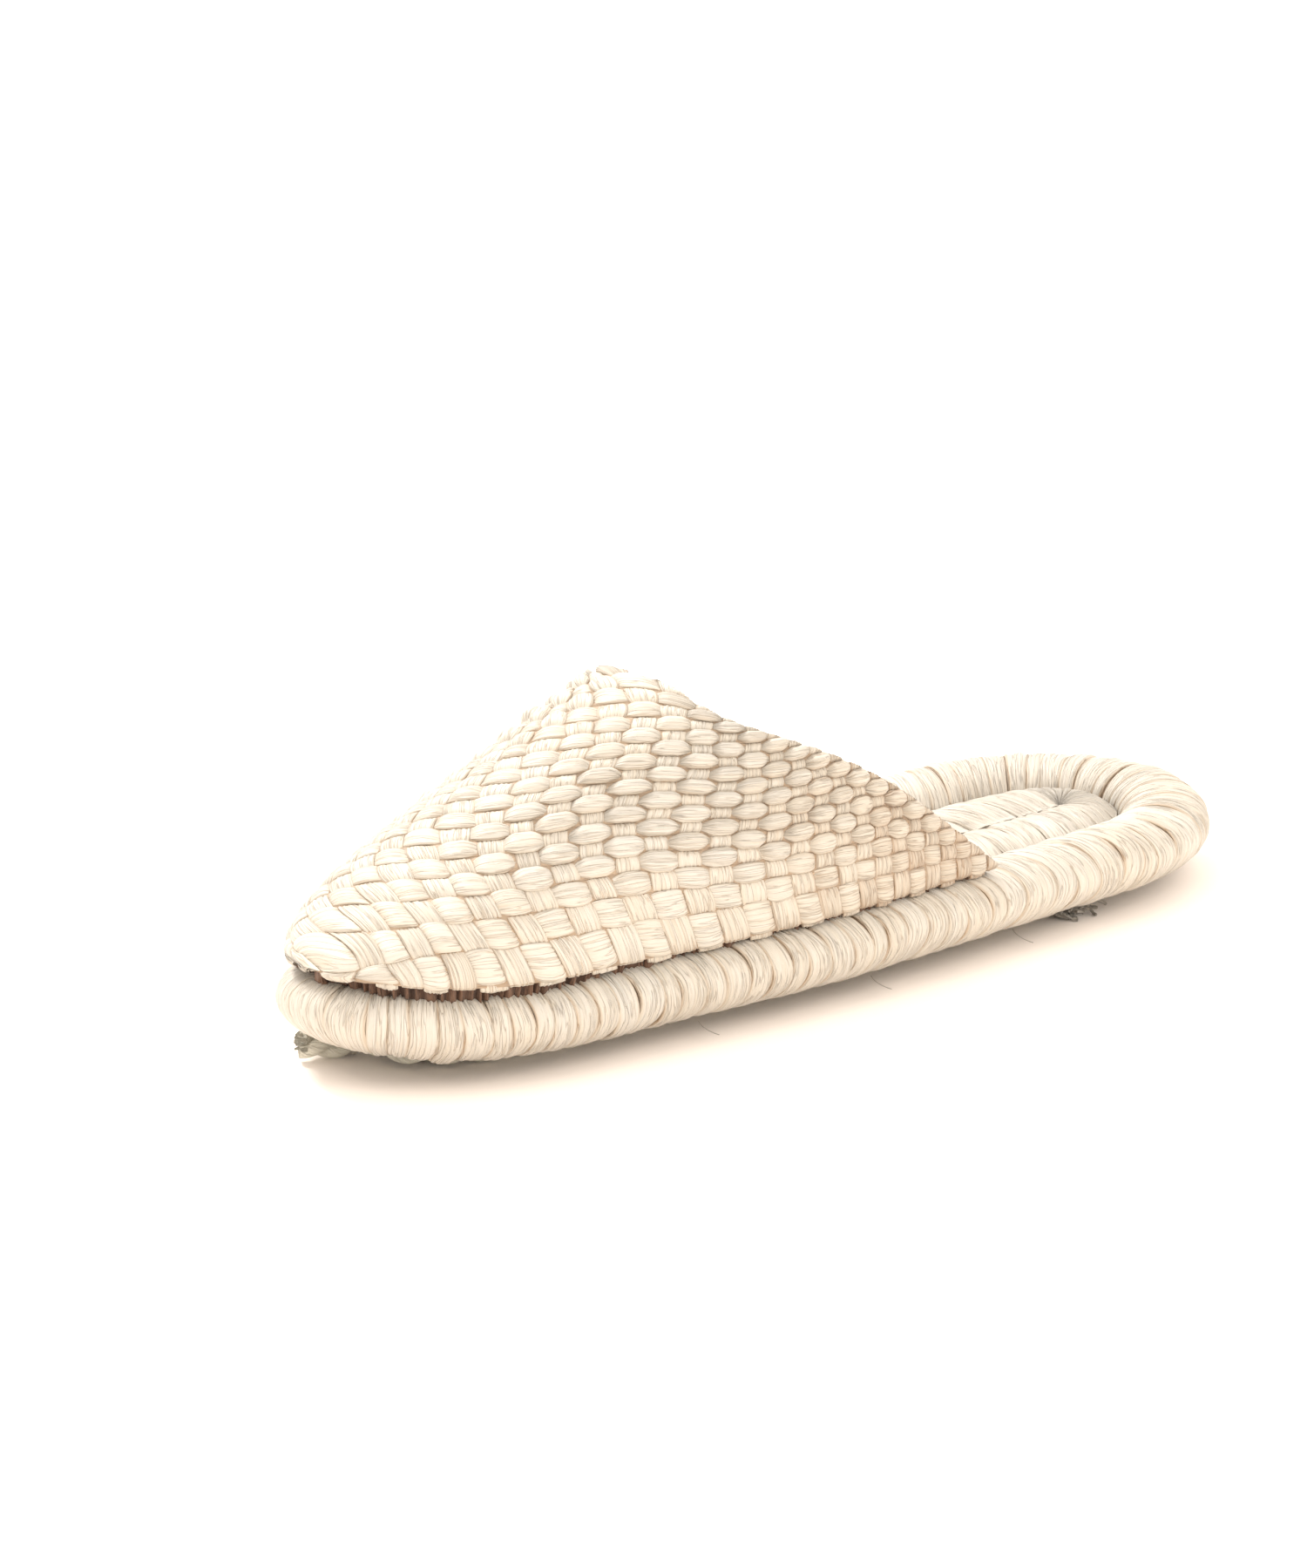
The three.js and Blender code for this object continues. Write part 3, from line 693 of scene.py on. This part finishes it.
def wrapped_roll():
    core = Pile()
    s = np.linspace(0, outline.length, 241)[:-1]
    angle = np.linspace(0, 2 * math.pi, 17)[:-1]
    ss, aa = np.meshgrid(s, angle, indexing="ij")
    core.rings(roll_point(ss, aa, -1.1), np.stack([aa * 3, ss / 10], -1), 0.2, closed=True)
    core.piece("roll_core", core_shade_husk, "husk")

    pile = Pile()
    half = outline.length / 2
    u = np.concatenate([np.linspace(-0.5, 0.5, WRAP_COLUMNS), [0.4, -0.4]])
    angle = np.linspace(0, 2 * math.pi, TURN_STEPS + 1)[:-1] + 4.0
    cross, turn = np.meshgrid(u, angle, indexing="ij")
    edge = np.abs(2 * u[:WRAP_COLUMNS])
    bump_run = outline.run[np.argmin(np.hypot(outline.x - BUMP_AT[0], outline.y - BUMP_AT[1]))]
    at = 0.0
    number = 0
    while at < outline.length - 3:
        width = float(rng.choice(ROLL_WRAPS, p=ROLL_WRAP_ODDS))
        pleated = 1.0
        if SMOOTH_FROM < at - half < SMOOTH_TO:
            width = rng.uniform(11, 16)
            pleated = 0.35
        width = min(width, outline.length - at)
        middle = at + width / 2
        from_heel = min(middle, outline.length - middle) / half
        slant = 5.5 * math.sin(math.pi * from_heel) ** 0.7 * (1 - from_heel) ** 0.8
        slant = slant * (-1 if middle < half else 1)
        pleats = rng.uniform(-1, 1, WRAP_COLUMNS) + np.where(np.arange(WRAP_COLUMNS) % 2, 0.7, -0.7)
        gathered = 0.65 + 0.35 * np.cos(2 * (turn[:WRAP_COLUMNS] - 1.2))
        change = 0.7 * np.sin(turn[:WRAP_COLUMNS] * 1.5 + rng.uniform(0, 6, (WRAP_COLUMNS, 1)))
        ripple = 0.19 * pleated * (pleats[:, None] + change) * gathered
        tilt = 0.35 * u[:WRAP_COLUMNS] * rng.choice([-1, 1]) * rng.uniform(0.4, 1)
        profile = -0.18 - mix(0.2, 0.75, pleated) * edge ** 3.5 + tilt
        high = np.concatenate([profile[:, None] + ripple, np.full((2, TURN_STEPS), -1.2)])
        slow = 0.10 * np.sin(turn * 2 + rng.rand() * 6) + rng.uniform(-0.12, 0.08)
        if at <= bump_run < at + width:
            slow = slow + 1.0 * np.exp(-((turn - 4.75) / 0.28) ** 2)
        lean = slant * np.cos(turn - 0.35) + rng.uniform(-0.9, 0.9) * np.sin(turn)
        waver = 0.25 * np.sin(turn * 3 + rng.rand() * 6)
        where = middle + cross * width * 1.16 + lean + waver
        points = roll_point(where, turn, high + slow * (high > -1.1))
        strips = np.stack([cross * width / 12 + number * 2.3, turn * 0.95 + number], -1)
        # Each wrap's own random tone, plus painted shade along its edges, where it tucks under its
        # neighbour, and on its underside
        painted_edge_shade = np.concatenate([np.clip((edge - 0.74) / 0.14, 0, 1), [1, 1]])
        shade = 0.02 + 0.2 * rng.rand() + 0.7 * pleated * painted_edge_shade[:, None]
        shade = np.broadcast_to(shade, turn.shape)
        pile.rings(points.transpose(1, 0, 2)[:, ::-1], strips.transpose(1, 0, 2)[:, ::-1],
                   shade.T[:, ::-1], closed=True)
        at += width
        number += 1
    pile.piece("roll_wraps", wrap_husk, "husk", "rim_roll")


# Wrapped coil of the footbed
COIL_SHARE = [0, 0.1, 0.28, 0.5, 0.74, 0.92, 1]
COIL_LEVEL = [-0.9, -0.5, -0.12, 0, -0.12, -0.38, -0.5]
COIL_WRAPS = [6.5, 8.0, 9.5, 12.0]
COIL_WRAP_ODDS = [0.3, 0.3, 0.25, 0.15]


def coil_point(s, share, swell):
    x, y, nx, ny = outline.frame(s)
    inset = ROLL_WIDTH + CLEARANCE
    ex, ey = x - nx * inset, y - ny * inset
    middle = np.clip(ex, -COIL_END, COIL_END)
    px, py = mix(ex, middle, share), mix(ey, 0, share)
    level = sum(np.interp(share + d, COIL_SHARE, COIL_LEVEL) for d in (-0.07, 0, 0.07)) / 3
    z = ROLL_TOP - COIL_DIP + COIL_GROOVE * level + swell + lift(px)
    return np.stack([px, py, z], -1)


def wrapped_coil():
    core = Pile()
    s = np.linspace(0, outline.length, 161)[:-1]
    share = np.concatenate([np.linspace(0.02, 0.985, 13), np.linspace(0.985, 0.02, 5)])
    drop = np.concatenate([np.full(13, -2.0), np.full(5, -6.5)])
    ss, hh = np.meshgrid(s, share, indexing="ij")
    points = coil_point(ss, hh, drop)
    points[..., 2] = np.maximum(points[..., 2], MAT_TOP + lift(points[..., 0]))
    core.rings(points, np.stack([hh * 2, ss / 10], -1), 0.2, closed=True)
    core.piece("coil_core", core_shade_husk, "husk_coil")

    pile = Pile()
    steps, columns = 17, 8
    at = 0.0
    number = 0
    while at < outline.length - 3:
        width = float(rng.choice(COIL_WRAPS, p=COIL_WRAP_ODDS))
        middle = at + width / 2
        left = middle < outline.length / 2
        slant = rng.uniform(3.0, 7.0) * (-1 if left else 1)
        u = np.concatenate([np.linspace(-0.5, 0.5, columns), [0.4, -0.4]])
        crown = 1 - np.abs(2 * u[:columns]) ** 4
        ridges = 0.10 * np.sin(u[:columns] * rng.uniform(14, 26) + rng.rand() * 6)
        profile = -0.75 + 0.7 * crown + ridges * crown
        swell = np.concatenate([profile, [-1.6, -1.6]])
        across = np.linspace(-0.04, 1.0, steps)
        cross, path = np.meshgrid(u, across, indexing="ij")
        where = middle + cross * width * 1.1 + slant * (path - 0.4)
        lift_up = 0.35 * rng.rand() * np.sin(np.pi * path)
        points = coil_point(where, np.clip(path, 0, 1), swell[:, None] + lift_up - 0.1)
        strips = np.stack([cross * width / 10 + number * 2.7, path * 2 + number], -1)
        # Each wrap's own random tone, plus painted shade on its edges and underside
        shade = 0.02 + 0.15 * rng.rand() + np.where(swell < -0.6, 0.25, 0.0)[:, None]
        pile.rings(points.transpose(1, 0, 2)[:, ::-1], strips.transpose(1, 0, 2)[:, ::-1],
                   np.broadcast_to(shade, cross.shape).T[:, ::-1])
        at += width
        number += 1
    pile.piece("coil_wraps", wrap_husk, "husk_coil", "footbed_coil")


# Tubes, for ropes and loose fibres
def path_frame(path, closed):
    """The two directions across a path at each of its points, and the distance run so far."""
    ahead = np.roll(path, -1, 0) if closed else np.concatenate([path[1:], path[-1:]])
    behind = np.roll(path, 1, 0) if closed else np.concatenate([path[:1], path[:-1]])
    along = ahead - behind
    along /= np.maximum(np.linalg.norm(along, axis=1, keepdims=True), 1e-9)
    aside = np.cross(along, [0, 0, 1.0])
    aside /= np.maximum(np.linalg.norm(aside, axis=1, keepdims=True), 1e-9)
    steps = np.linalg.norm(np.diff(path, axis=0), axis=1)
    return aside, np.cross(aside, along), np.concatenate([[0], np.cumsum(steps)])


def tube(pile, path, radius, sides, closed=False, tone=0.1, twist=0.0, seed=0.0):
    """A round tube along a path of points, with its lines turned along it by twist."""
    aside, above, run = path_frame(path, closed)
    turn = np.linspace(0, 2 * math.pi, sides + 1)[:-1]
    radius = np.broadcast_to(radius, (len(path),))[:, None, None]
    ring = (np.cos(turn)[:, None] * aside[:, None] + np.sin(turn)[:, None] * above[:, None])
    points = path[:, None] + ring * radius
    lines = turn[None] * 0.35 + twist * run[:, None] + seed
    strips = np.stack([lines, np.broadcast_to(run[:, None] / 10, lines.shape)], -1)
    pile.rings(points, strips, tone, closed)


def twisted(pile, path, offset, radius, pitch, closed=False, sides=8, tone=0.1):
    """Two strands twisted round a path."""
    aside, above, run = path_frame(path, closed)
    whole = run[-1] + (np.linalg.norm(path[0] - path[-1]) if closed else 0)
    turns = max(1, round(whole / pitch)) if closed else whole / pitch
    for strand in (0, 1):
        angle = 2 * math.pi * turns * run / whole + math.pi * strand
        at = path + offset * (np.cos(angle)[:, None] * aside + np.sin(angle)[:, None] * above)
        tube(pile, at, radius, sides, closed, tone + 0.05 * strand, 0.22, strand * 3.0)


# Rope mat
STRAND_OFFSET = 1.42
STRAND_RADIUS = 1.78
ROPE_PITCH = 17.0


def rope_mat():
    pile = Pile()
    for run in range(MAT_RUNS):
        share = (run + 0.5) / MAT_RUNS
        count = int((outline.length - 70 * run) / 1.9)
        s = np.linspace(0, outline.length, count + 1)[:-1]
        x, y, nx, ny = outline.frame(s)
        ex, ey = x - nx * MAT_INSET, y - ny * MAT_INSET
        middle = np.clip(ex, -MAT_END, MAT_END)
        px, py = mix(ex, middle, share), mix(ey, 0, share)
        path = np.stack([px, py, np.full_like(px, ROPE_DIAMETER / 2)], 1)
        keep = np.concatenate([[True], np.linalg.norm(np.diff(path, axis=0), axis=1) > 0.4])
        path = path[keep]
        tone = 0.08 + 0.03 * run
        twisted(pile, path, STRAND_OFFSET, STRAND_RADIUS, ROPE_PITCH, closed=True, tone=tone)
    for block in pile.points:
        block[:, 2] = np.clip(block[:, 2], 0.0, MAT_TOP - CLEARANCE) + lift(block[:, 0])
    pile.piece("mat_rope", rush, "rush_rope", "outsole_rope_mat")


# Loose rope end and its binding
ROPE_TIP = (HALF - 11.6, -14.6)
ROPE_TURN = math.radians(20)
LOOSE_DIAMETER = 6.0
ROPE_END_LENGTH = 9.2
BINDING_LENGTH = 3.5
TIP_LIFT = 1.0
CUT_FIBRES = 40
ROPE_AHEAD = np.array([math.cos(ROPE_TURN), -math.sin(ROPE_TURN), 0.0])
ROPE_ASIDE = np.array([math.sin(ROPE_TURN), math.cos(ROPE_TURN), 0.0])


def rope_line(back):
    rise = TIP_LIFT * (1 - np.clip(back / ROPE_END_LENGTH, 0, 1)) ** 2
    level = LOOSE_DIAMETER / 2 + 0.05 + rise
    start = np.array([ROPE_TIP[0], ROPE_TIP[1], 0.0])
    return start - np.asarray(back)[..., None] * ROPE_AHEAD + level[..., None] * [0, 0, 1.0]


def rope_end():
    pile = Pile()
    back = np.linspace(ROPE_END_LENGTH + 1.5, 0, 26)
    twisted(pile, rope_line(back), 1.35, 1.65, 15.0, sides=16, tone=0.0)
    tip = rope_line(np.array([0.8]))[0]
    for _ in range(CUT_FIBRES):
        turn, far = rng.rand() * 2 * math.pi, 2.5 * math.sqrt(rng.rand())
        root = tip + far * math.cos(turn) * ROPE_ASIDE + [0, 0, far * math.sin(turn)]
        reach = ROPE_AHEAD + rng.uniform(-0.25, 0.25, 3)
        path = root + reach * np.linspace(0, 1, 4)[:, None] * rng.uniform(0.8, 1.5)
        tube(pile, path, np.array([0.3, 0.3, 0.26, 0.14]), 6, tone=0.1 + 0.3 * rng.rand())
    pile.piece("rope_end_strands", rush, "rush_rope", "rope_end")

    bind = Pile()
    turn = np.linspace(0, 2 * math.pi, 33)[:-1]
    for k, middle in enumerate((0.9, 2.6)):
        u = np.concatenate([np.linspace(-0.5, 0.5, 7), [0.4, -0.4]])
        crown = 1 - np.abs(2 * u[:7]) ** 3
        size = np.concatenate([2.4 + 0.5 * crown, [2.0, 2.0]])
        cross, angle = np.meshgrid(u, turn, indexing="ij")
        back = ROPE_END_LENGTH + CLEARANCE + middle + cross * 1.8 + 0.25 * np.sin(angle)
        centre = rope_line(back)
        out = (size[:, None] + 0.05 * np.sin(cross * 19 + k))[..., None]
        points = centre + out * (np.cos(angle)[..., None] * ROPE_ASIDE
                                 + np.sin(angle)[..., None] * [0, 0, 1.0])
        strips = np.stack([cross * 0.33 + k, angle * 0.3], -1)
        bind.rings(points.transpose(1, 0, 2), strips.transpose(1, 0, 2), 0.14, closed=True)
    core = rope_line(ROPE_END_LENGTH + CLEARANCE + np.linspace(0.1, BINDING_LENGTH, 8))
    tube(bind, core, 2.3, 14, tone=0.2)
    bind.piece("rope_binding_turns", wrap_husk, "husk", "rope_binding")


# Crinkled strip ends, tucked between the upper and the roll; their near-black colour and darker
# recessed folds are painted shade in that gap
def tucked_ends():
    pile = Pile()
    levels = np.linspace(0, 1, 6)
    for side in (1, -1):
        count = 1000
        strip = np.linspace(FIRST_SUM / 2, LAST_SUM - 0.6, count)
        near = smooth(strip, FIRST_SUM / 2, FIRST_SUM)
        x = mix(np.full(count, UPPER_TIP - 0.4), edge_station(np.maximum(strip, FIRST_SUM)), near)
        place = on_arch(x, np.zeros(count), np.full(count, float(side)))
        place[:, 1] *= near
        ahead = np.gradient(place[:, :2], axis=0)
        normal = np.stack([ahead[:, 1], -ahead[:, 0], np.zeros(count)], 1) * side
        normal /= np.maximum(np.linalg.norm(normal, axis=1, keepdims=True), 1e-9)
        step = np.linalg.norm(np.diff(place, axis=0), axis=1)
        run = np.concatenate([[0], np.cumsum(step)])
        slow = np.sin(run * 0.37 + side) + np.sin(run * 0.83 + 2.0) + 0.6 * np.sin(run * 1.7)
        outer, inner = [], []
        for level in levels:
            fold = np.sin(run * 1.1 + 2.6 * slow + 1.8 * level * np.sin(run * 0.53 + 1.0))
            fold = fold * (0.75 + 0.35 * np.sin(run * 0.61 + 2 * level))
            deep = 1.6 + 0.9 * level - fold * 0.9
            bottom = ROLL_TOP - 1.6 + lift(place[:, 0])
            z = mix(place[:, 2] + 1.0, bottom, level)
            point = place - normal * deep[:, None]
            point[:, 2] = z + 0.25 * np.sin(run * 1.7 + level * 2)
            outer.append(point)
            inner.append(point - normal * 0.3)
        ring = np.stack(outer + inner[::-1], 1)
        if side < 0:
            ring = ring[:, ::-1]
        shape = ring.shape[:2]
        lines = np.stack([np.broadcast_to(run[:, None] / 8, shape),
                          np.broadcast_to(np.linspace(0, 1, shape[1]), shape)], -1)
        # Recessed folds darker, outer folds paler: painted shade in the folds
        pile.rings(ring, lines, np.broadcast_to(0.1 - 0.4 * fold[:, None], shape))
    pile.piece("tucked_ends", tucked_shade_husk, "husk")


# Loose fibres: a frayed tuft under the heel, and single threads along the edge
TUFT = np.array([-74.0, 25.5, 2.4])
FIBRES = 46
THREADS = ((47.0, 33.0), (-2.0, 36.0), (-48.0, 34.0))


def loose_fibres():
    pile = Pile()
    t = np.linspace(0, 1, 9)[:, None]
    for _ in range(FIBRES):
        out = np.array([rng.uniform(-0.7, 0.7), rng.uniform(0.2, 1.1), rng.uniform(-0.3, 0.2)])
        reach = rng.uniform(2.5, 6.5)
        curl = rng.uniform(-1.6, 1.6, 3) * [1, 0.6, 0.6]
        start = TUFT + rng.uniform(-1, 1, 3) * [4.5, 1.5, 1.0]
        path = start + out * reach * t + curl * np.sin(t * rng.uniform(2, 5))
        path[:, 2] = np.clip(path[:, 2], 0.55, 3.6)
        # Low tones make the tuft paler than the other husk: painted light on fibres in the heel's
        # shadow; the spread is each fibre's own tone
        tube(pile, path, np.linspace(0.6, 0.34, 9), 6, tone=-0.3 + 0.5 * rng.rand())
    for x, y in THREADS:
        start = np.array([x, y, 4.2])
        path = start + np.array([1.5, 4.5, -2.6]) * t + np.array([-2.5, 1, 0.6]) * t * t
        tube(pile, path, 0.1, 5, tone=0.0)
    pile.piece("loose_fibres", wrap_husk, "husk")


back, right = add_camera()
add_stage(back, right)
plait_family("plait_long", False, "upper")
plait_family("plait_cross", True)
plait_core()
wrapped_roll()
wrapped_coil()
rope_mat()
rope_end()
tucked_ends()
loose_fibres()
